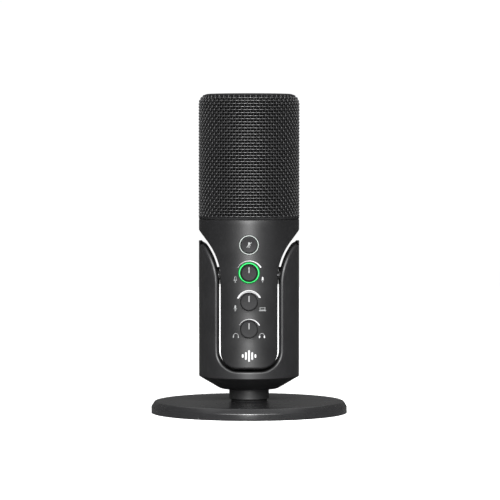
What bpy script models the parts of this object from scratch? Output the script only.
"""Desktop USB microphone in a tilting yoke on a round stand.

The microphone is a side-address condenser: a woven grille cup on a cylindrical body whose lower
part narrows to a core between the two arms of a yoke.  The yoke screws onto the stud of a weighted
disc.  Lengths are millimetres here and become metres when a mesh is made.

Frame: origin at the centre of the stand's foot, +Z up, the control panel faces -Y.
"""

import math

import bmesh
import bpy
from mathutils import Matrix, Vector

MM = 0.001
FINE, MEDIUM, COARSE = 48, 28, 16  # facets round a large, a middling and a small cylinder
GAP = 0.3  # clearance between pieces that rest on one another
SEAT = 0.1  # clearance between a screw and its hole

# ---------------------------------------------------------------- driving dimensions
MIC_R = 28.0  # outer radius of body, grille and yoke
TOTAL_H = 179.0

# Stand
BASE_R = 55.0
BASE_TOP = 6.6
BASE_BOTTOM = 0.2
BASE_RIM_TOP = 3.5  # where the upright rim starts to round over
BASE_SHOULDER_R = 53.2
BOSS_R, BOSS_TOP = 10.0, 7.8
PAD_R, PAD_INNER_R, PAD_TOP = 53.4, 15.0, 1.4
STUD_R, STUD_ROOT_R, STUD_PITCH = 7.94, 7.4, 0.94  # 5/8 inch, 27 threads to the inch
STUD_TOP = 16.0

# Yoke
SOCKET_R, SOCKET_BOTTOM, SOCKET_BORE_R = 11.2, 8.0, 8.15
SOCKET_SHANK_R, SOCKET_TOP = 9.2, 16.7
YOKE_BOTTOM = 13.6
YOKE_FLAT_R = 15.6  # flat underside inside the cone
YOKE_BAND_BOTTOM = 20.85
ARM_INNER_X = 16.95
ARM_TOP = 96.8
ARM_ARC_R, ARM_ARC_Z = 39.5, 72.0  # the inner face leaves the plane along this arc
ARM_ARC_END_X, ARM_SHOULDER_X = 23.6, 26.9
LIP_Z, LIP_CORNER_R = 25.2, 10.5
REAR_LIP_Z, REAR_LIP_Y = 23.2, 10.0  # the U is cut lower behind this y
TROUGH_CLEARANCE, TROUGH_WALL = 0.7, 1.05
ARM_POCKET_R, ARM_POCKET_Y = 25.8, 14.0
ARM_POCKET_Z = (30.85, 86.15)
COVER_THICK = 1.4
CAP_SCREW = 16.2  # the two screws under the yoke stand at this y and at plus and minus this x
STRAP_THICK, STRAP_HALF_WIDTH = 1.6, 6.5
STRAP_LEG_X = 21.6
STRAP_FLOOR_Z = 15.95
STRAP_BEND_X = 13.3
STRAP_SEAT_R = 13.0  # the round flange in the middle, for the threaded socket

# Tilt pivot
PIVOT_Z = 77.1
HUB_R = 4.85
BOLT_R, BOLT_HEAD_R = 2.4, 3.6

# Microphone body
CORE_X = 15.8  # half width of the core between the arms
BODY_BOTTOM, BODY_TOP = 26.4, 108.8
BODY_CORNER_R = 9.5
HEAD_ARC_R, HEAD_ARC_Z, HEAD_ARC_END_X = 35.2, 75.0, 23.3
WALL, PANEL_INNER_R = 2.0, 25.6
SPLIT_Y = 7.0  # the rear shell starts here
RECESS_R, RECESS_Z = 25.7, 105.2
SHELL_SCREWS = ((-10.8, 33.0), (10.8, 33.0))

# Controls on the panel
MUTE_Z, GAIN_Z, MIX_Z, VOLUME_Z = 95.1, 79.7, 63.8, 48.7
KNOB_R, GAIN_KNOB_R = 5.0, 4.6
KNOB_FACE, KNOB_BACK = -33.0, -27.1
POINTER_LENGTH = 3.4
SHAFT_R, SHAFT_START, SHAFT_END = 2.0, -31.4, -18.3
GAIN_RING_R = (4.8, 6.0)
MUTE_RING_R = (4.75, 5.5)
MUTE_R, MUTE_FACE = 4.55, -28.7
CONTROL_BOARD_Y = (-17.2, -15.6)

# Rear sockets
JACK_Z, USB_Z = 56.0, 40.5
PORT_FACE_Y = 27.2
MAIN_BOARD_Y = (15.6, 17.2)

# Head
GRILLE_WALL, GRILLE_BOTTOM, GRILLE_EDGE_R = 0.8, 109.1, 5.6
GRILLE_RING_R, GRILLE_RING_TOP = 27.1, 110.6
FOAM_R, FOAM_WALL, FOAM_EDGE_R = 26.0, 1.5, 3.9
CAPSULE_Z, CAPSULE_R = 145.0, 8.4

# ---------------------------------------------------------------- scene and materials
for old in list(bpy.data.objects):
    bpy.data.objects.remove(old)


def collection(name):
    made = bpy.data.collections.new(name)
    bpy.context.scene.collection.children.link(made)
    return made


MODEL = collection("desktop_microphone")
CUTTERS = collection("cutters")


def material(name, colour, roughness, metallic=0.0):
    made = bpy.data.materials.new(name)
    made.use_nodes = True
    shader = made.node_tree.nodes["Principled BSDF"]
    shader.inputs["Base Color"].default_value = (*colour, 1.0)
    shader.inputs["Roughness"].default_value = roughness
    shader.inputs["Metallic"].default_value = metallic
    return made


SHELL = material("satin_black_plastic", (0.028, 0.028, 0.030), 0.42)
YOKE = material("yoke_black", (0.030, 0.030, 0.032), 0.45)
COATED = material("coated_black_metal", (0.022, 0.022, 0.024), 0.38, 0.3)
WIRE = material("grille_black", (0.035, 0.035, 0.037), 0.35, 0.6)
KNOB = material("knob_black", (0.035, 0.035, 0.037), 0.5)
WHITE = material("white_inlay", (0.85, 0.85, 0.85), 0.4)
GREEN = material("green_light_guide", (0.05, 0.85, 0.25), 0.3)
DIFFUSER = material("grey_light_guide", (0.45, 0.46, 0.46), 0.35)
RUBBER = material("rubber", (0.02, 0.02, 0.02), 0.8)
FOAM = material("foam", (0.012, 0.012, 0.012), 0.95)
STEEL = material("steel", (0.55, 0.55, 0.56), 0.3, 1.0)
BRASS = material("brass", (0.75, 0.58, 0.28), 0.3, 1.0)
BOARD = material("circuit_board", (0.02, 0.10, 0.05), 0.5)
CHIP = material("chip_black", (0.03, 0.03, 0.03), 0.55)
NYLON = material("nylon", (0.02, 0.02, 0.02), 0.5)


# ---------------------------------------------------------------- modelling helpers
def mm(*values):
    return Vector(values) * MM


def add(name, mesh, finish, matrix=None):
    """A model object, smooth where its facets turn gently."""
    made = bpy.data.objects.new(name, mesh)
    MODEL.objects.link(made)
    made.matrix_world = matrix or Matrix.Identity(4)
    made.data.materials.clear()
    made.data.materials.append(finish)
    made.data.shade_smooth()
    made.data.set_sharp_from_angle(angle=math.radians(32))
    return made


def along(axis, start, end):
    """Turns +Z to the axis X, Y or Z, centred between two stations on it."""
    middle = (start + end) / 2
    turn = {
        "X": Matrix.Rotation(math.pi / 2, 4, "Y"),
        "Y": Matrix.Rotation(-math.pi / 2, 4, "X"),
        "Z": Matrix.Identity(4),
    }[axis]
    step = {"X": (middle, 0, 0), "Y": (0, middle, 0), "Z": (0, 0, middle)}[axis]
    return Matrix.Translation(mm(*step)) @ turn


def cylinder(name, finish, radius, axis, start, end, centre=(0, 0), facets=COARSE, end_radius=None):
    """A solid cylinder or cone from start to end; centre gives the other two coordinates."""
    mesh = bpy.data.meshes.new(name)
    shape = bmesh.new()
    bmesh.ops.create_cone(
        shape,
        cap_ends=True,
        segments=facets,
        radius1=radius * MM,
        radius2=(radius if end_radius is None else end_radius) * MM,
        depth=abs(end - start) * MM,
    )
    shape.to_mesh(mesh)
    shape.free()
    u, v = centre
    shift = {"X": (0, u, v), "Y": (u, 0, v), "Z": (u, v, 0)}[axis]
    place = Matrix.Translation(mm(*shift)) @ along(axis, start, end)
    mesh.transform(place)
    return add(name, mesh, finish)


def box(name, finish, x, y, z):
    """A block between two stations on each axis."""
    mesh = bpy.data.meshes.new(name)
    shape = bmesh.new()
    bmesh.ops.create_cube(shape, size=1.0)
    size = mm(x[1] - x[0], y[1] - y[0], z[1] - z[0])
    middle = mm((x[0] + x[1]) / 2, (y[0] + y[1]) / 2, (z[0] + z[1]) / 2)
    bmesh.ops.scale(shape, vec=size, verts=shape.verts)
    bmesh.ops.translate(shape, vec=middle, verts=shape.verts)
    shape.to_mesh(mesh)
    shape.free()
    return add(name, mesh, finish)


def baked(item):
    """Replaces an object's mesh by its evaluated one and drops its modifiers."""
    bpy.context.view_layer.update()
    graph = bpy.context.evaluated_depsgraph_get()
    mesh = bpy.data.meshes.new_from_object(item.evaluated_get(graph))
    item.modifiers.clear()
    item.data = mesh
    return item


def facing_out(item):
    shape = bmesh.new()
    shape.from_mesh(item.data)
    bmesh.ops.remove_doubles(shape, verts=shape.verts, dist=1e-7)
    bmesh.ops.recalc_face_normals(shape, faces=shape.faces)
    shape.to_mesh(item.data)
    shape.free()
    return item


def lathe(name, finish, profile, axis="Z", centre=(0, 0), facets=MEDIUM):
    """Turns a closed profile of (radius, station) points about an axis with a Screw modifier."""
    points = [mm(radius, 0, station) for radius, station in profile]
    edges = [(i, (i + 1) % len(points)) for i in range(len(points))]
    on_axis = [i for i, (radius, _) in enumerate(profile) if radius == 0]
    if len(on_axis) == 2:
        edges = [edge for edge in edges if set(edge) != set(on_axis)]
    mesh = bpy.data.meshes.new(name)
    mesh.from_pydata(points, edges, [])
    made = add(name, mesh, finish)
    screw = made.modifiers.new("turn", "SCREW")
    screw.axis = "Z"
    screw.angle = 2 * math.pi
    screw.steps = screw.render_steps = facets
    screw.use_merge_vertices = True
    screw.merge_threshold = 1e-6
    facing_out(baked(made))
    u, v = centre
    shift = {"X": (0, u, v), "Y": (u, 0, v), "Z": (u, v, 0)}[axis]
    made.data.transform(Matrix.Translation(mm(*shift)) @ along(axis, 0, 0))
    facing_out(made)
    made.data.shade_smooth()
    made.data.set_sharp_from_angle(angle=math.radians(32))
    return made


def ring(name, finish, inner, outer, axis, start, end, centre=(0, 0), facets=MEDIUM):
    profile = [(outer, end), (outer, start), (inner, start), (inner, end)]
    return lathe(name, finish, profile, axis, centre, facets)


def prism(name, finish, outline, axis, start, end):
    """A flat outline swept along an axis: (x, z) points for Y, (y, z) for X and (x, y) for Z."""
    curve = bpy.data.curves.new(name, "CURVE")
    curve.dimensions = "2D"
    curve.fill_mode = "BOTH"
    curve.extrude = abs(end - start) / 2 * MM
    spline = curve.splines.new("POLY")
    spline.points.add(len(outline) - 1)
    for point, (u, v) in zip(spline.points, outline):
        point.co = (*mm(u, v), 0, 1)
    spline.use_cyclic_u = True
    guide = bpy.data.objects.new(name + "_outline", curve)
    MODEL.objects.link(guide)
    middle = (start + end) / 2
    guide.matrix_world = {
        "X": Matrix.Translation(mm(middle, 0, 0))
        @ Matrix(((0, 0, 1, 0), (1, 0, 0, 0), (0, 1, 0, 0), (0, 0, 0, 1))),
        "Y": Matrix.Translation(mm(0, middle, 0)) @ Matrix.Rotation(math.pi / 2, 4, "X"),
        "Z": Matrix.Translation(mm(0, 0, middle)),
    }[axis]
    bpy.context.view_layer.update()
    graph = bpy.context.evaluated_depsgraph_get()
    mesh = bpy.data.meshes.new_from_object(guide.evaluated_get(graph))
    mesh.transform(guide.matrix_world)
    bpy.data.objects.remove(guide)
    return facing_out(add(name, mesh, finish))


def wire(name, finish, radius, points):
    """A round wire through the points, filled at both ends."""
    curve = bpy.data.curves.new(name, "CURVE")
    curve.dimensions = "3D"
    curve.bevel_depth = radius * MM
    curve.bevel_resolution = 2
    curve.use_fill_caps = True
    spline = curve.splines.new("POLY")
    spline.points.add(len(points) - 1)
    for point, place in zip(spline.points, points):
        point.co = (*mm(*place), 1)
    guide = bpy.data.objects.new(name + "_route", curve)
    MODEL.objects.link(guide)
    bpy.context.view_layer.update()
    graph = bpy.context.evaluated_depsgraph_get()
    mesh = bpy.data.meshes.new_from_object(guide.evaluated_get(graph))
    bpy.data.objects.remove(guide)
    return facing_out(add(name, mesh, finish))


def smooth_route(points, per_span=5):
    """Points on a Catmull-Rom curve through the given ones."""
    held = [points[0], *points, points[-1]]
    route = []
    for span in zip(held, held[1:], held[2:], held[3:]):
        a, b, c, d = (Vector(point) for point in span)
        linear, square, cube = c - a, 2 * a - 5 * b + 4 * c - d, 3 * b - a - 3 * c + d
        for step in range(per_span):
            t = step / per_span
            route.append(tuple(b + (linear * t + square * t**2 + cube * t**3) / 2))
    return [*route, tuple(points[-1])]


def combine(target, other, operation, keep=False):
    """Applies one Boolean and puts the other solid away with the cutters, unless it is kept."""
    step = target.modifiers.new(operation.lower(), "BOOLEAN")
    step.operation = operation
    step.object = other
    step.solver = "EXACT"
    baked(target)
    if not keep:
        MODEL.objects.unlink(other)
        CUTTERS.objects.link(other)
        other.hide_render = True
        other.display_type = "WIRE"
    return target


def cut(target, *cutters):
    for cutter in cutters:
        combine(target, cutter, "DIFFERENCE")
    return tidy(target)


def join(target, *others):
    for other in others:
        combine(target, other, "UNION")
    return tidy(target)


def tidy(item, angle=0.5):
    """Merges the flat facets and short edges that Booleans leave."""
    shape = bmesh.new()
    shape.from_mesh(item.data)
    bmesh.ops.remove_doubles(shape, verts=shape.verts, dist=2e-6)
    bmesh.ops.dissolve_degenerate(shape, dist=2e-6, edges=shape.edges)
    bmesh.ops.dissolve_limit(
        shape, angle_limit=math.radians(angle), verts=shape.verts, edges=shape.edges
    )
    bmesh.ops.triangulate(shape, faces=[f for f in shape.faces if len(f.verts) > 4])
    shape.to_mesh(item.data)
    shape.free()
    item.data.shade_smooth()
    item.data.set_sharp_from_angle(angle=math.radians(32))
    return item


def copy_of(item, name):
    made = item.copy()
    made.data = item.data.copy()
    made.name = name
    MODEL.objects.link(made)
    return made


def mirrored(item, name):
    """The same piece on the other side of the X = 0 plane."""
    made = copy_of(item, name)
    made.data.transform(Matrix.Scale(-1, 4, (1, 0, 0)))
    return facing_out(made)


def bevelled(item, width, segments=2, angle=40):
    """Rounds the sharp edges of a plain solid."""
    step = item.modifiers.new("round", "BEVEL")
    step.width = width * MM
    step.segments = segments
    step.limit_method = "ANGLE"
    step.angle_limit = math.radians(angle)
    return baked(item)


def arc(centre, radius, start, end, steps):
    """Points on a circle between two angles in degrees, both ends included."""
    return [
        (
            centre[0] + radius * math.cos(math.radians(start + (end - start) * i / steps)),
            centre[1] + radius * math.sin(math.radians(start + (end - start) * i / steps)),
        )
        for i in range(steps + 1)
    ]


def both_sides(half):
    """A closed outline from its right half, listed from the bottom centre to the top centre."""
    return half + [(-u, v) for u, v in reversed(half) if u > 0]


def angle_at(x, centre_x, radius):
    """The angle, in the upper left quadrant of a circle, at which it passes a given x."""
    return math.degrees(math.acos((x - centre_x) / radius))


# ---------------------------------------------------------------- outlines seen from the front
HEAD_ARC_X = CORE_X + HEAD_ARC_R
HEAD_ARC_END = angle_at(HEAD_ARC_END_X, HEAD_ARC_X, HEAD_ARC_R)
HEAD_SLOPE = -1 / math.tan(math.radians(HEAD_ARC_END))


def head_edge_z(x):
    """Height of the head's lower edge on its round outer face: an arc, then its tangent."""
    reach = min(x, HEAD_ARC_END_X)
    z = HEAD_ARC_Z + math.sqrt(HEAD_ARC_R**2 - (HEAD_ARC_X - reach) ** 2)
    return z + (x - reach) * HEAD_SLOPE


ARM_ARC_X = ARM_INNER_X + ARM_ARC_R


def arm_face_x(z):
    """The arm's inner face: a plane below, an arc that leans outwards above."""
    rise = max(z - ARM_ARC_Z, 0)
    return ARM_ARC_X - math.sqrt(ARM_ARC_R**2 - rise**2)


def body_bottom_z(x):
    """The body's lower edge: flat, with large round corners."""
    flat = CORE_X - BODY_CORNER_R
    if x <= flat:
        return BODY_BOTTOM
    return BODY_BOTTOM + BODY_CORNER_R - math.sqrt(max(BODY_CORNER_R**2 - (x - flat) ** 2, 0))


def body_outline(inset=0.0, top=BODY_TOP + 1):
    """Front outline of the body; the inset one is the straight-sided cavity."""
    corner = (CORE_X - BODY_CORNER_R, BODY_BOTTOM + BODY_CORNER_R)
    half = [(0, BODY_BOTTOM + inset)]
    half += arc(corner, BODY_CORNER_R - inset, -90, 0, 8)
    if inset:
        half += [(CORE_X - inset, top)]
    else:
        half += arc((HEAD_ARC_X, HEAD_ARC_Z), HEAD_ARC_R, 180, HEAD_ARC_END, 10)
        half += [(MIC_R + 2, head_edge_z(MIC_R + 2)), (MIC_R + 2, top)]
    half += [(0, top)]
    return both_sides(half)


def yoke_outline():
    """Front outline of the yoke: two arms joined by a band, with the U between them."""
    arc_end = angle_at(ARM_ARC_END_X, ARM_ARC_X, ARM_ARC_R)
    end_z = ARM_ARC_Z + ARM_ARC_R * math.sin(math.radians(arc_end))
    corner = (ARM_INNER_X - LIP_CORNER_R, LIP_Z + LIP_CORNER_R)
    half = [(0, YOKE_BAND_BOTTOM), (MIC_R + 2, YOKE_BAND_BOTTOM), (MIC_R + 2, ARM_TOP)]
    half += [(ARM_SHOULDER_X, ARM_TOP)]
    half += [(25.2, ARM_TOP - 0.5), (24.2, end_z + 1.4)]
    half += list(reversed(arc((ARM_ARC_X, ARM_ARC_Z), ARM_ARC_R, 180, arc_end, 10)))
    half += arc(corner, LIP_CORNER_R, 0, -90, 8)
    half += [(0, LIP_Z)]
    right = half
    return right + [(-u, v) for u, v in reversed(right) if u > 0]


def swept_radius(x, edge_z):
    """Distance from the tilt axis of a point on the round outer face."""
    return math.hypot(math.sqrt(max(MIC_R**2 - x**2, 0)), edge_z - PIVOT_Z)


def about_tilt_axis(name, finish, profile, facets=FINE):
    """Turns (radius, x) points about the tilt axis."""
    return lathe(name, finish, profile, axis="X", centre=(0, PIVOT_Z), facets=facets)


# ---------------------------------------------------------------- stand
def stand():
    shoulder = [
        (BASE_R, BASE_RIM_TOP),
        (BASE_R - 0.35, BASE_RIM_TOP + 1.1),
        (BASE_R - 0.95, BASE_RIM_TOP + 2.2),
        (BASE_SHOULDER_R, BASE_TOP),
    ]
    profile = [
        (BOSS_R, BOSS_TOP),
        (BOSS_R, BASE_TOP),
        *reversed(shoulder),
        (BASE_R, BASE_BOTTOM),
        (PAD_R + 0.2, BASE_BOTTOM),
        (PAD_R + 0.2, PAD_TOP + GAP),
        (PAD_INNER_R - 0.2, PAD_TOP + GAP),
        (PAD_INNER_R - 0.2, BASE_BOTTOM),
        (7.6, BASE_BOTTOM),
        (7.6, 3.6),
        (3.3, 3.6),
        (3.3, BOSS_TOP),
    ]
    lathe("stand_base", COATED, profile, facets=FINE)
    ring("stand_foot_pad", RUBBER, PAD_INNER_R, PAD_R, "Z", 0, PAD_TOP, facets=FINE)
    ridges = []
    station = STUD_TOP - 0.6
    while station > BOSS_TOP + 1.4:
        ridges += [(STUD_ROOT_R, station), (STUD_R, station - STUD_PITCH / 2)]
        station -= STUD_PITCH
    stud = [(0, STUD_TOP), (STUD_ROOT_R - 0.5, STUD_TOP), *ridges]
    stud += [(STUD_ROOT_R, station), (STUD_ROOT_R, BOSS_TOP + GAP), (2.6, BOSS_TOP + GAP)]
    stud += [(2.6, BOSS_TOP + 5.6), (0, BOSS_TOP + 5.6)]
    lathe("stand_stud", STEEL, stud, facets=16)
    screw = cylinder("stand_screw", STEEL, 2.5, "Z", 2.0, BOSS_TOP + 5.0)
    head = cylinder("stand_screw_head", STEEL, 5.0, "Z", 0.9, 2.7)
    socket = cylinder("stand_screw_socket", STEEL, 2.3, "Z", 0.5, 1.9, facets=6)
    cut(join(screw, head), socket)


# ---------------------------------------------------------------- yoke
def yoke_shell():
    shell = cylinder("yoke_shell", YOKE, MIC_R, "Z", YOKE_BAND_BOTTOM, ARM_TOP + 1, facets=FINE)
    combine(shell, prism("yoke_front_outline", YOKE, yoke_outline(), "Y", -30, 30), "INTERSECT")
    stations = [0, 3, 6.3, 8, 10, 11.5, 13, 14.2, 15.1, 15.5, 15.7, CORE_X]
    trough = [(swept_radius(x, body_bottom_z(x)) + TROUGH_CLEARANCE, x) for x in stations]
    trough += [(trough[-1][0], ARM_INNER_X)]
    belly = [(radius + TROUGH_WALL, x) for radius, x in trough if x <= 13]
    belly_cut = about_tilt_axis("trough_wall", YOKE, both_ends(belly))
    combine(belly_cut, box("trough_wall_part", YOKE, (-13, 13), (-21.5, 21.5), (16, 22)), "INTERSECT")
    join(shell, belly_cut)
    cutters = [about_tilt_axis("trough", YOKE, both_ends(trough))]
    for side in (1, -1):
        pocket = cylinder("arm_pocket", YOKE, ARM_POCKET_R, "Z", *ARM_POCKET_Z, facets=FINE)
        inner, outer = sorted((side * 14, side * 30))
        limits = box("arm_pocket_part", YOKE, (inner, outer), (-ARM_POCKET_Y, ARM_POCKET_Y), (20, 90))
        combine(pocket, limits, "INTERSECT")
        cutters.append(pocket)
        inner, outer = sorted((side * (STRAP_LEG_X - 2.0), side * (STRAP_LEG_X + 1.3)))
        cutters.append(box("strap_channel", YOKE, (inner, outer), (-7.2, 7.2), (20, 32)))
        place = (side * CAP_SCREW, CAP_SCREW)
        cutters.append(cylinder("cap_screw_pilot", YOKE, 1.1 + SEAT, "Z", 20, 26.6, place, 12))
    corner = (ARM_INNER_X - LIP_CORNER_R, REAR_LIP_Z + LIP_CORNER_R)
    half = [(0, REAR_LIP_Z), *arc(corner, LIP_CORNER_R, -90, 0, 8), (ARM_INNER_X, 40), (0, 40)]
    cutters.append(prism("rear_lip", YOKE, both_sides(half), "Y", REAR_LIP_Y, MIC_R + 2))
    return cut(shell, *cutters)


def both_ends(half):
    """A profile symmetric about x = 0, closed on the tilt axis."""
    left = [(radius, -x) for radius, x in reversed(half) if x > 0]
    limit = half[-1][1]
    return [(0, limit), *reversed(half), *reversed(left), (0, -limit)]


def yoke_bottom_cap():
    edge_r, wall = MIC_R - 0.1, 1.4
    top = YOKE_BAND_BOTTOM - 0.12
    profile = [
        (edge_r, top),
        (YOKE_FLAT_R + 0.9, YOKE_BOTTOM + 0.25),
        (YOKE_FLAT_R, YOKE_BOTTOM),
        (SOCKET_SHANK_R + 0.2, YOKE_BOTTOM),
        (SOCKET_SHANK_R + 0.2, YOKE_BOTTOM + wall),
        (YOKE_FLAT_R - 0.5, YOKE_BOTTOM + wall),
        (edge_r - 1.9, top),
    ]
    cap = lathe("yoke_bottom_cap", YOKE, profile, facets=40)
    bosses, holes = [], []
    for name, offset in (("left", -CAP_SCREW), ("right", CAP_SCREW)):
        place = (offset, CAP_SCREW)
        bosses.append(cylinder("cap_boss", YOKE, 3.1, "Z", 18.6, top, place, 16))
        holes.append(cylinder("cap_counterbore", YOKE, 2.2, "Z", 14, 19.4, place, 16))
        holes.append(cylinder("cap_hole", YOKE, 1.3, "Z", 19, 22, place, 12))
        shank = cylinder(name + "_cap_screw", STEEL, 1.1, "Z", 18.6, 26.2, place, 12)
        head = cylinder("cap_screw_head", STEEL, 2.0, "Z", 17.9, 19.3, place, 16)
        drive = cylinder("cap_screw_drive", STEEL, 1.0, "Z", 17.5, 18.7, place, 6)
        cut(join(shank, head), drive)
    cut(join(cap, *bosses), *holes)


def yoke_frame():
    """The steel strap inside the yoke: one bent strip with a hole for each bolt and the socket."""
    floor_z, leg_x, bend_x = STRAP_FLOOR_Z, STRAP_LEG_X, STRAP_BEND_X
    half = [(0, floor_z), (bend_x, floor_z), (leg_x - 0.6, 20.6), (leg_x, 22.0), (leg_x, PIVOT_Z + 7)]
    path = [(-x, z) for x, z in reversed(half) if x > 0] + half
    thick = STRAP_THICK / 2
    upper, lower = [], []
    for i, (x, z) in enumerate(path):
        before = Vector(path[max(i - 1, 0)])
        after = Vector(path[min(i + 1, len(path) - 1)])
        run = (after - before).normalized()
        upper.append((x - run.y * thick, z + run.x * thick))
        lower.append((x + run.y * thick, z - run.x * thick))
    strap = prism(
        "yoke_frame", STEEL, upper + list(reversed(lower)), "Y", -STRAP_HALF_WIDTH, STRAP_HALF_WIDTH
    )
    reach = STRAP_HALF_WIDTH + 0.1
    rounded = [(-reach, 10), (reach, 10), *arc((0, PIVOT_Z), reach, 0, 180, 12)]
    combine(strap, prism("strap_ends", STEEL, rounded, "X", -30, 30), "INTERSECT")
    low, high = floor_z - thick + 0.02, floor_z + thick - 0.02
    join(strap, cylinder("socket_seat", STEEL, STRAP_SEAT_R, "Z", low, high, facets=MEDIUM))
    holes = [cylinder("pivot_hole", STEEL, 2.6, "X", -30, 30, (0, PIVOT_Z))]
    holes.append(cylinder("socket_hole", STEEL, SOCKET_SHANK_R + 0.15, "Z", 10, 20, facets=MEDIUM))
    cut(strap, *holes)


def arm_cover():
    low, high = ARM_POCKET_Z[0] + GAP, ARM_POCKET_Z[1] - GAP
    heights = [low, ARM_ARC_Z, 76, 80, 83, high]
    inner = [(arm_face_x(z), z) for z in heights]
    outer = [(x + COVER_THICK, z) for x, z in reversed(inner)]
    reach = ARM_POCKET_Y - GAP
    cover = prism("right_arm_cover", YOKE, inner + outer, "Y", -reach, reach)
    cut(cover, cylinder("hub_hole", YOKE, HUB_R + SEAT, "X", 10, 25, (0, PIVOT_Z)))
    mirrored(cover, "left_arm_cover")


def thread_socket():
    profile = [
        (SOCKET_SHANK_R, SOCKET_TOP),
        (SOCKET_SHANK_R, YOKE_BOTTOM - GAP),
        (SOCKET_R, YOKE_BOTTOM - GAP),
        (SOCKET_R, SOCKET_BOTTOM + 0.4),
        (SOCKET_R - 0.4, SOCKET_BOTTOM),
        (SOCKET_BORE_R, SOCKET_BOTTOM),
        (SOCKET_BORE_R, SOCKET_TOP),
    ]
    lathe("thread_socket", COATED, profile)


def pivots():
    """Bolt, nut, bush and friction washer on the right, and their mirror images on the left."""
    strap_in, strap_out = STRAP_LEG_X - STRAP_THICK / 2, STRAP_LEG_X + STRAP_THICK / 2
    axis = (0, PIVOT_Z)
    washer = ring("right_friction_washer", NYLON, 2.55, HUB_R, "X", CORE_X + 0.15, 16.35, axis, 24)
    bush = ring("right_pivot_bush", NYLON, 2.55, HUB_R, "X", 16.5, strap_in - 0.2, axis, 24)
    head_start = strap_out + 0.2
    bolt = cylinder("right_pivot_bolt", STEEL, BOLT_R, "X", 10.9, head_start + 0.5, axis, 24)
    head = cylinder("bolt_head", STEEL, BOLT_HEAD_R, "X", head_start, 24.6, axis, 24)
    drive = cylinder("bolt_drive", STEEL, 1.7, "X", 23.4, 26, axis, 6)
    cut(join(bolt, head), drive)
    nut = cylinder("right_pivot_nut", STEEL, 4.2, "X", 11.2, CORE_X - WALL - 0.1, axis, 6)
    cut(nut, cylinder("nut_bore", STEEL, BOLT_R + SEAT, "X", 10, 15, axis, 24))
    for piece in (washer, bush, bolt, nut):
        mirrored(piece, piece.name.replace("right", "left"))


# ---------------------------------------------------------------- microphone body
CONTROL_SCREWS = ((-10.2, 41.5), (10.2, 101.0))
MAIN_SCREWS = ((-10.2, 90.0), (10.2, 47.5))
DECK_SCREWS = ((-17.5, -11.0), (17.5, 12.0))


def body_form():
    """Outer form of the body: a cylinder, its front outline, and a notch round each pivot."""
    form = cylinder("body_form", SHELL, MIC_R, "Z", BODY_BOTTOM - 1, BODY_TOP, facets=FINE)
    combine(form, prism("body_front_outline", SHELL, body_outline(), "Y", -30, 30), "INTERSECT")
    stations = [CORE_X, 16.2, 17, 18, 19.5, 21, HEAD_ARC_END_X, 25, 26.5, 27.5, 28.2]
    half = [(swept_radius(x, head_edge_z(x)), x) for x in stations]
    profile = [(0, CORE_X), *half, (0, 28.2)]
    for sign in (1, -1):
        notch = about_tilt_axis("notch", SHELL, [(radius, sign * x) for radius, x in profile])
        combine(form, notch, "DIFFERENCE")
    return tidy(form)


def body_cavity():
    cavity = cylinder("body_cavity", SHELL, PANEL_INNER_R, "Z", BODY_BOTTOM, BODY_TOP + 2, facets=FINE)
    outline = body_outline(WALL, BODY_TOP + 3)
    combine(cavity, prism("cavity_outline", SHELL, outline, "Y", -30, 30), "INTERSECT")
    recess = cylinder("top_recess", SHELL, RECESS_R, "Z", RECESS_Z, BODY_TOP + 4, facets=FINE)
    return join(cavity, recess)


def across(name, radius, start, end, x, z, facets=16):
    """A cylinder along Y, for bosses, holes and controls."""
    return cylinder(name, SHELL, radius, "Y", start, end, (x, z), facets)


def stadium(width, height, centre_z, steps=6):
    """An oblong with round ends, as (x, z) points."""
    radius = height / 2
    offset = width / 2 - radius
    right = arc((offset, centre_z), radius, -90, 90, steps)
    left = arc((-offset, centre_z), radius, 90, 270, steps)
    return right + left


def body_shells():
    form = body_form()
    cavity = body_cavity()
    combine(form, cavity, "DIFFERENCE", keep=True)
    tidy(form)
    front = copy_of(form, "front_shell")
    rear = copy_of(form, "rear_shell")
    bpy.data.objects.remove(form)
    bpy.data.objects.remove(cavity)
    combine(front, box("front_part", SHELL, (-40, 40), (-40, SPLIT_Y - GAP / 2), (0, 120)), "INTERSECT")
    combine(rear, box("rear_part", SHELL, (-40, 40), (SPLIT_Y + GAP / 2, 40), (0, 120)), "INTERSECT")
    front_details(front)
    rear_details(rear)
    for side, (x, z) in zip(("left", "right"), SHELL_SCREWS):
        shank = cylinder(side + "_shell_screw", STEEL, 1.2, "Y", -2, 13, (x, z), 12)
        head = cylinder("shell_screw_head", STEEL, 2.1, "Y", 12.2, 14.2, (x, z), 16)
        drive = cylinder("shell_screw_drive", STEEL, 1.1, "Y", 13.4, 15, (x, z), 6)
        cut(join(shank, head), drive)


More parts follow.
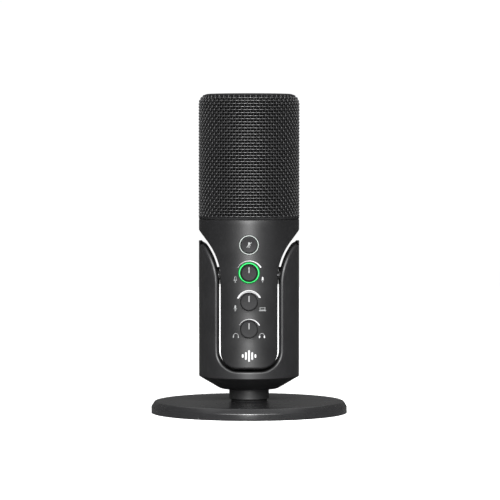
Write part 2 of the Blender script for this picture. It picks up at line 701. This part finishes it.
def front_details(front):
    bosses = [across("boss", 2.9, -4, SPLIT_Y - GAP, x, z) for x, z in SHELL_SCREWS]
    start = -24.2
    bosses += [across("boss", 2.2, start, CONTROL_BOARD_Y[0] - GAP, x, z) for x, z in CONTROL_SCREWS]
    join(front, *bosses)
    holes = [across("pilot", 1.2 + SEAT, -3, 8, x, z, 12) for x, z in SHELL_SCREWS]
    holes += [across("pilot", 0.9 + SEAT, -22.5, -16, x, z, 12) for x, z in CONTROL_SCREWS]
    holes.append(across("mute_opening", MUTE_RING_R[1] + SEAT, -30, -20, 0, MUTE_Z, MEDIUM))
    holes.append(across("gain_opening", GAIN_RING_R[1] + SEAT, -30, -20, 0, GAIN_Z, MEDIUM))
    for z in (MIX_Z, VOLUME_Z):
        holes.append(across("knob_recess", KNOB_R + 0.28, -30, -26.9, 0, z, MEDIUM))
        holes.append(across("bush_opening", 3.4, -28, -20, 0, z, 24))
    holes += [
        cylinder("deck_pilot", SHELL, 1.0 + SEAT, "Z", 100.5, 106, place, 12)
        for place in DECK_SCREWS
        if place[1] < SPLIT_Y
    ]
    holes.append(cylinder("pivot_hole", SHELL, BOLT_R + SEAT, "X", -20, 20, (0, PIVOT_Z), 24))
    cut(front, *holes)


def rear_details(rear):
    bosses = [across("boss", 3.3, SPLIT_Y + GAP, 24.6, x, z) for x, z in SHELL_SCREWS]
    bosses += [across("boss", 2.2, MAIN_BOARD_Y[1] + GAP, 24.2, x, z) for x, z in MAIN_SCREWS]
    join(rear, *bosses)
    holes = [across("counterbore", 2.3, 12, 30, x, z) for x, z in SHELL_SCREWS]
    holes += [across("hole", 1.4, 5, 14, x, z, 12) for x, z in SHELL_SCREWS]
    holes += [across("pilot", 0.9 + SEAT, 16, 22.5, x, z, 12) for x, z in MAIN_SCREWS]
    holes.append(across("jack_spot_face", 5.4, PORT_FACE_Y, 30, 0, JACK_Z, MEDIUM))
    holes.append(across("jack_opening", 3.85, 20, 30, 0, JACK_Z, 24))
    holes.append(prism("usb_spot_face", SHELL, stadium(12.6, 6.6, USB_Z), "Y", PORT_FACE_Y, 30))
    holes.append(prism("usb_opening", SHELL, stadium(9.6, 3.9, USB_Z), "Y", 20, 30))
    holes += [
        cylinder("deck_pilot", SHELL, 1.0 + SEAT, "Z", 100.5, 106, place, 12)
        for place in DECK_SCREWS
        if place[1] > SPLIT_Y
    ]
    cut(rear, *holes)


# ---------------------------------------------------------------- controls
def knob(name, radius, z):
    """Knob, its shaft and its white pointer; all three turn about the shaft."""
    cap = cylinder(name + "_knob", KNOB, radius, "Y", KNOB_FACE, KNOB_BACK, (0, z), 32)
    bevelled(cap, 0.55)
    depth = (KNOB_FACE - 1, KNOB_FACE + 0.55)
    slot = box("slot", KNOB, (-0.5, 0.5), depth, (z - 0.12, z + POINTER_LENGTH + 0.12))
    bore = cylinder("bore", KNOB, SHAFT_R + 0.06, "Y", SHAFT_START - 0.1, KNOB_BACK + 1, (0, z), 16)
    cut(cap, slot, bore)
    cylinder(name + "_shaft", STEEL, SHAFT_R, "Y", SHAFT_START, SHAFT_END, (0, z), 24)
    depth = (KNOB_FACE - 0.05, KNOB_FACE + 0.4)
    bevelled(box(name + "_pointer", WHITE, (-0.38, 0.38), depth, (z, z + POINTER_LENGTH)), 0.12, 1)
    body = box(name + "_pot", CHIP, (-4.9, 4.9), (-22.6, CONTROL_BOARD_Y[0] - GAP), (z - 5.5, z + 5.5))
    neck = cylinder("neck", CHIP, 3.2, "Y", -25.0, -22.0, (0, z), 24)
    well = cylinder("well", CHIP, SHAFT_R + SEAT, "Y", -26, SHAFT_END + GAP, (0, z), 24)
    cut(join(body, neck), well)


def mute_control():
    cap = cylinder("mute_button", KNOB, MUTE_R, "Y", MUTE_FACE, -25.8, (0, MUTE_Z), 28)
    bevelled(cap, 0.3)
    join(cap, cylinder("stem", KNOB, 1.5, "Y", -26.2, -23.9, (0, MUTE_Z), 16))
    back = CONTROL_BOARD_Y[0] - GAP
    switch = box("mute_switch", CHIP, (-3, 3), (-20.8, back), (MUTE_Z - 3, MUTE_Z + 3))
    join(switch, cylinder("plunger", CHIP, 1.7, "Y", -23.0, -20.0, (0, MUTE_Z), 16))
    ring("mute_light_ring", DIFFUSER, *MUTE_RING_R, "Y", -28.3, -25.2, (0, MUTE_Z), 32)
    ring("gain_light_ring", GREEN, *GAIN_RING_R, "Y", -28.7, -24.8, (0, GAIN_Z), 32)


def boards():
    front_y, rear_y = CONTROL_BOARD_Y, MAIN_BOARD_Y
    control = box("control_board", BOARD, (-12.6, 12.6), front_y, (38.5, 103.5))
    cut(control, *[across("hole", 1.15, -20, -10, x, z, 12) for x, z in CONTROL_SCREWS])
    main = box("main_board", BOARD, (-12.6, 12.6), rear_y, (37.0, 93.5))
    holes = [across("hole", 1.15, 12, 20, x, z, 12) for x, z in MAIN_SCREWS]
    cut(main, *holes, across("jack_hole", 3.6, 12, 20, 0, JACK_Z, 24))
    small_screws("control_board_screw", CONTROL_SCREWS, front_y[1] + SEAT, 1)
    small_screws("main_board_screw", MAIN_SCREWS, rear_y[0] - SEAT, -1)
    join(
        main,
        box("converter_chip", BOARD, (-3.5, 3.5), (14.5, rear_y[0] + 0.2), (70, 77)),
        box("preamp_chip", BOARD, (-8, -3), (14.7, rear_y[0] + 0.2), (83, 87)),
        box("crystal", BOARD, (5.2, 8.4), (14.6, rear_y[0] + 0.2), (71, 73.5)),
    )
    lamp = (front_y[0] - 0.85, front_y[0] + 0.2)
    lamps = [
        box("lamp", BOARD, (x - 0.8, x + 0.8), lamp, (z - 0.4, z + 0.4))
        for x, z in ((-5.9, GAIN_Z), (5.9, GAIN_Z), (-4.6, MUTE_Z), (4.6, MUTE_Z))
    ]
    join(control, *lamps)
    route = smooth_route([(-15.4, 66), (-13.6, 64.6), (-6, 67.4), (6, 67.4), (13.6, 64.6), (15.4, 66)], 3)
    thick = 0.15
    outline = [(y, z + thick) for y, z in route] + [(y, z - thick) for y, z in reversed(route)]
    prism("ribbon_cable", CHIP, outline, "X", -4, 4)


def small_screws(name, places, seat, side):
    """Board screws: the head stands off the board on one side, the shank goes the other way."""
    for x, z in places:
        head_y = sorted((seat, seat + side * 1.3))
        shank_y = sorted((seat + side * 0.4, seat - side * 6.0))
        handed = ("left_" if x < 0 else "right_") + name
        head = cylinder(handed, STEEL, 1.8, "Y", *head_y, (x, z), 16)
        join(head, cylinder("shank", STEEL, 0.9, "Y", *shank_y, (x, z), 12))


def rear_sockets():
    board = MAIN_BOARD_Y[1] + GAP
    jack = box("headphone_jack", CHIP, (-4.6, 4.6), (board, 23.9), (JACK_Z - 5, JACK_Z + 5))
    barrel = cylinder("barrel", CHIP, 3.3, "Y", 11.4, 20, (0, JACK_Z), 24)
    nose = cylinder("nose", CHIP, 3.65, "Y", 23, 27.0, (0, JACK_Z), 24)
    bore = cylinder("bore", CHIP, 1.8, "Y", 12.4, 30, (0, JACK_Z), 16)
    cut(join(jack, barrel, nose), bore)
    shell = prism("usb_socket", STEEL, stadium(8.94, 3.26, USB_Z), "Y", board, 26.9)
    hollow = prism("usb_hollow", STEEL, stadium(8.34, 2.66, USB_Z), "Y", board + 1.2, 30)
    cut(shell, hollow)
    tongue = (board + 1.0, 25.4)
    join(shell, box("usb_tongue", STEEL, (-3.35, 3.35), tongue, (USB_Z - 0.35, USB_Z + 0.35)))


# ---------------------------------------------------------------- head
def rounded_cup(name, finish, outer, wall, bottom, top, edge, steps, facets):
    """An open-bottomed cup with a rounded top edge."""
    outside = [(0, top), *reversed(arc((outer - edge, top - edge), edge, 0, 90, steps)), (outer, bottom)]
    inside = [(outer - wall, bottom), *arc((outer - edge, top - edge), edge - wall, 0, 90, steps)]
    return lathe(name, finish, outside + inside + [(0, top - wall)], facets=facets)


def head():
    top = TOTAL_H
    rounded_cup("grille_mesh", WIRE, MIC_R, GRILLE_WALL, GRILLE_BOTTOM, top, GRILLE_EDGE_R, 5, 44)
    outer, shelf, high = GRILLE_RING_R, GRILLE_BOTTOM, GRILLE_RING_TOP
    profile = [(outer, high), (outer, shelf), (25.5, shelf), (25.5, 107.4), (24.3, 107.4), (24.3, high)]
    lathe("grille_ring", COATED, profile, facets=32)
    rounded_cup("foam_liner", FOAM, FOAM_R, FOAM_WALL, high + GAP, top - 2.0, FOAM_EDGE_R, 3, 24)
    deck = cylinder("deck_plate", SHELL, 25.4, "Z", 105.4, 107.2, facets=36)
    holes = [cylinder("deck_hole", SHELL, 1.2, "Z", 100, 110, place, 12) for place in DECK_SCREWS]
    holes.append(cylinder("lead_hole", SHELL, 3.4, "Z", 100, 110, (0, 13), 16))
    cut(deck, *holes)
    for side, place in zip(("left", "right"), DECK_SCREWS):
        cap = cylinder(side + "_deck_screw", STEEL, 2.0, "Z", 107.3, 108.6, place, 16)
        join(cap, cylinder("shank", STEEL, 1.0, "Z", 101.2, 108, place, 12))


def capsule():
    half_depth = 3.4
    axis = (0, CAPSULE_Z)
    body = cylinder("capsule", BRASS, CAPSULE_R, "Y", -half_depth, half_depth, axis, MEDIUM)
    bevelled(body, 0.4, 1)
    ports = [
        cylinder("port", BRASS, 0.7, "Y", -5, -2.9, (4.6 * math.sin(a), CAPSULE_Z + 4.6 * math.cos(a)), 8)
        for a in (math.tau * i / 6 for i in range(6))
    ]
    ports.append(cylinder("port", BRASS, 0.7, "Y", -5, -2.9, axis, 8))
    cut(body, *ports)
    cradle = [
        (CAPSULE_R + 3.0, 2.6),
        (CAPSULE_R + 3.0, -2.6),
        (CAPSULE_R + 0.12, -2.6),
        (CAPSULE_R + 0.12, 2.6),
    ]
    lathe("capsule_mount", RUBBER, cradle, axis="Y", centre=axis, facets=MEDIUM)
    hoop = ring("capsule_bracket", NYLON, 11.55, 13.4, "Y", -2.6, 2.6, axis, MEDIUM)
    low = CAPSULE_Z - 12.6
    post = cylinder("post", NYLON, 4.0, "Z", 112, low, facets=24)
    foot = cylinder("foot", NYLON, 7.5, "Z", 107.3, 109.3, facets=24)
    flare = cylinder("flare", NYLON, 6.2, "Z", 109.1, 113, facets=24, end_radius=4.0)
    join(hoop, post, foot, flare)
    route = [
        (0, half_depth + 0.3, CAPSULE_Z - 4),
        (0, 6.5, CAPSULE_Z - 5.5),
        (0, 14.5, 130),
        (0, 14.2, 114),
        (0, 13.0, 104),
        (0, 12.6, 96),
        (0, 13.6, 91.0),
    ]
    wire("capsule_lead", CHIP, 0.7, smooth_route(route, 3))


# ---------------------------------------------------------------- assembly
def axis_empty(name, x, y, z, parent=None):
    """An empty on a joint's axis."""
    made = bpy.data.objects.new(name, None)
    made.empty_display_size = 10 * MM
    made.location = mm(x, y, z)
    MODEL.objects.link(made)
    bpy.context.view_layer.update()
    if parent:
        carry(made, parent)
    return made


def carry(item, parent):
    """Parents an object and leaves it where it is."""
    item.parent = parent
    item.matrix_parent_inverse = parent.matrix_world.inverted()
    bpy.context.view_layer.update()


def centre_origin(item):
    """Moves an object's origin to the middle of its own bounds."""
    corners = [Vector(corner) for corner in item.bound_box]
    middle = (corners[0] + corners[6]) / 2
    item.data.transform(Matrix.Translation(-middle))
    item.location = item.location + middle


STILL = ("stand_", "thread_", "yoke_", "left_arm", "right_arm", "left_cap", "right_cap")
STILL += ("left_pivot_bush", "right_pivot_bush", "left_friction", "right_friction")


def assemble():
    """Parents every piece to the empty on the axis that it turns or slides about."""
    pieces = [item for item in MODEL.objects if item.type == "MESH"]
    for item in pieces:
        centre_origin(item)
    bpy.context.view_layer.update()
    foot = axis_empty("stand_centre", 0, 0, 0)
    tilt = axis_empty("tilt_axis", 0, 0, PIVOT_Z, foot)
    controls = {
        "gain": axis_empty("gain_axis", 0, KNOB_FACE, GAIN_Z, tilt),
        "mix": axis_empty("mix_axis", 0, KNOB_FACE, MIX_Z, tilt),
        "volume": axis_empty("volume_axis", 0, KNOB_FACE, VOLUME_Z, tilt),
    }
    mute = axis_empty("mute_axis", 0, MUTE_FACE, MUTE_Z, tilt)
    for item in pieces:
        prefix, _, last = item.name.partition("_")
        if item.name.startswith(STILL):
            carry(item, foot)
        elif prefix in controls and last in ("knob", "shaft", "pointer"):
            carry(item, controls[prefix])
        elif item.name == "mute_button":
            carry(item, mute)
        else:
            carry(item, tilt)


stand()
thread_socket()
yoke_shell()
yoke_bottom_cap()
yoke_frame()
arm_cover()
pivots()
body_shells()
knob("gain", GAIN_KNOB_R, GAIN_Z)
knob("mix", KNOB_R, MIX_Z)
knob("volume", KNOB_R, VOLUME_Z)
mute_control()
boards()
rear_sockets()
head()
capsule()
assemble()
